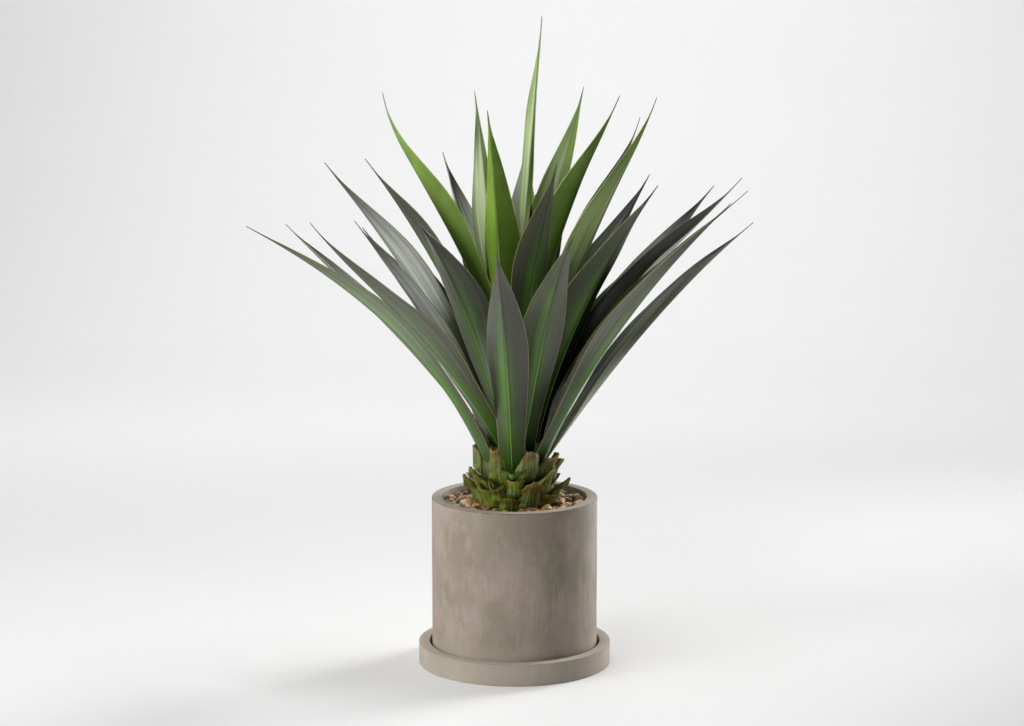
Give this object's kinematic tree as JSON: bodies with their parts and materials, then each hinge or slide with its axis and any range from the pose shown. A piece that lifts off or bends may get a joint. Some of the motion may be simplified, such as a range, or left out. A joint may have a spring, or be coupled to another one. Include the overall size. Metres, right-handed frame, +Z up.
{
  "type": "potted agave",
  "caption": "Agave with arching keeled leaves and trimmed leaf bases, standing in gravel in a round concrete pot on its saucer.",
  "frame": {"origin": "centre of the saucer's flat underside", "axes": "+Z up along the pot's axis, +X to the right and -Y towards the picture's viewer"},
  "size_m": [0.8008, 0.8322, 1.0328],
  "materials": {
    "concrete": "matte",
    "soil": "matte",
    "gravel": "matte",
    "stem": "matte",
    "leaf_base": "satin",
    "leaf": "satin"
  },
  "bodies": {
    "root": {"saucer": "concrete", "pot": "concrete", "soil": "soil", "gravel": "gravel", "stem": "stem", "leaf_01": "leaf", "leaf_02": "leaf", "leaf_03": "leaf", "leaf_04": "leaf", "leaf_05": "leaf", "leaf_06": "leaf", "leaf_07": "leaf", "leaf_08": "leaf", "leaf_09": "leaf", "leaf_10": "leaf", "leaf_11": "leaf", "leaf_12": "leaf", "leaf_13": "leaf", "leaf_14": "leaf", "leaf_15": "leaf", "leaf_16": "leaf", "leaf_17": "leaf", "leaf_18": "leaf", "leaf_19": "leaf", "leaf_20": "leaf", "leaf_21": "leaf", "leaf_22": "leaf", "leaf_23": "leaf", "leaf_24": "leaf", "leaf_25": "leaf", "leaf_26": "leaf", "leaf_27": "leaf", "leaf_28": "leaf", "leaf_29": "leaf", "leaf_30": "leaf", "leaf_31": "leaf", "leaf_32": "leaf", "leaf_33": "leaf", "leaf_34": "leaf", "leaf_35": "leaf", "leaf_base_01": "leaf_base", "leaf_base_02": "leaf_base", "leaf_base_03": "leaf_base", "leaf_base_04": "leaf_base", "leaf_base_05": "leaf_base", "leaf_base_06": "leaf_base", "leaf_base_07": "leaf_base", "leaf_base_08": "leaf_base", "leaf_base_09": "leaf_base", "leaf_base_10": "leaf_base", "leaf_base_11": "leaf_base", "leaf_base_12": "leaf_base", "leaf_base_13": "leaf_base", "leaf_base_14": "leaf_base", "leaf_base_15": "leaf_base", "leaf_base_16": "leaf_base", "leaf_base_17": "leaf_base", "leaf_base_18": "leaf_base", "leaf_base_19": "leaf_base", "leaf_base_20": "leaf_base"}
  },
  "joints": []
}
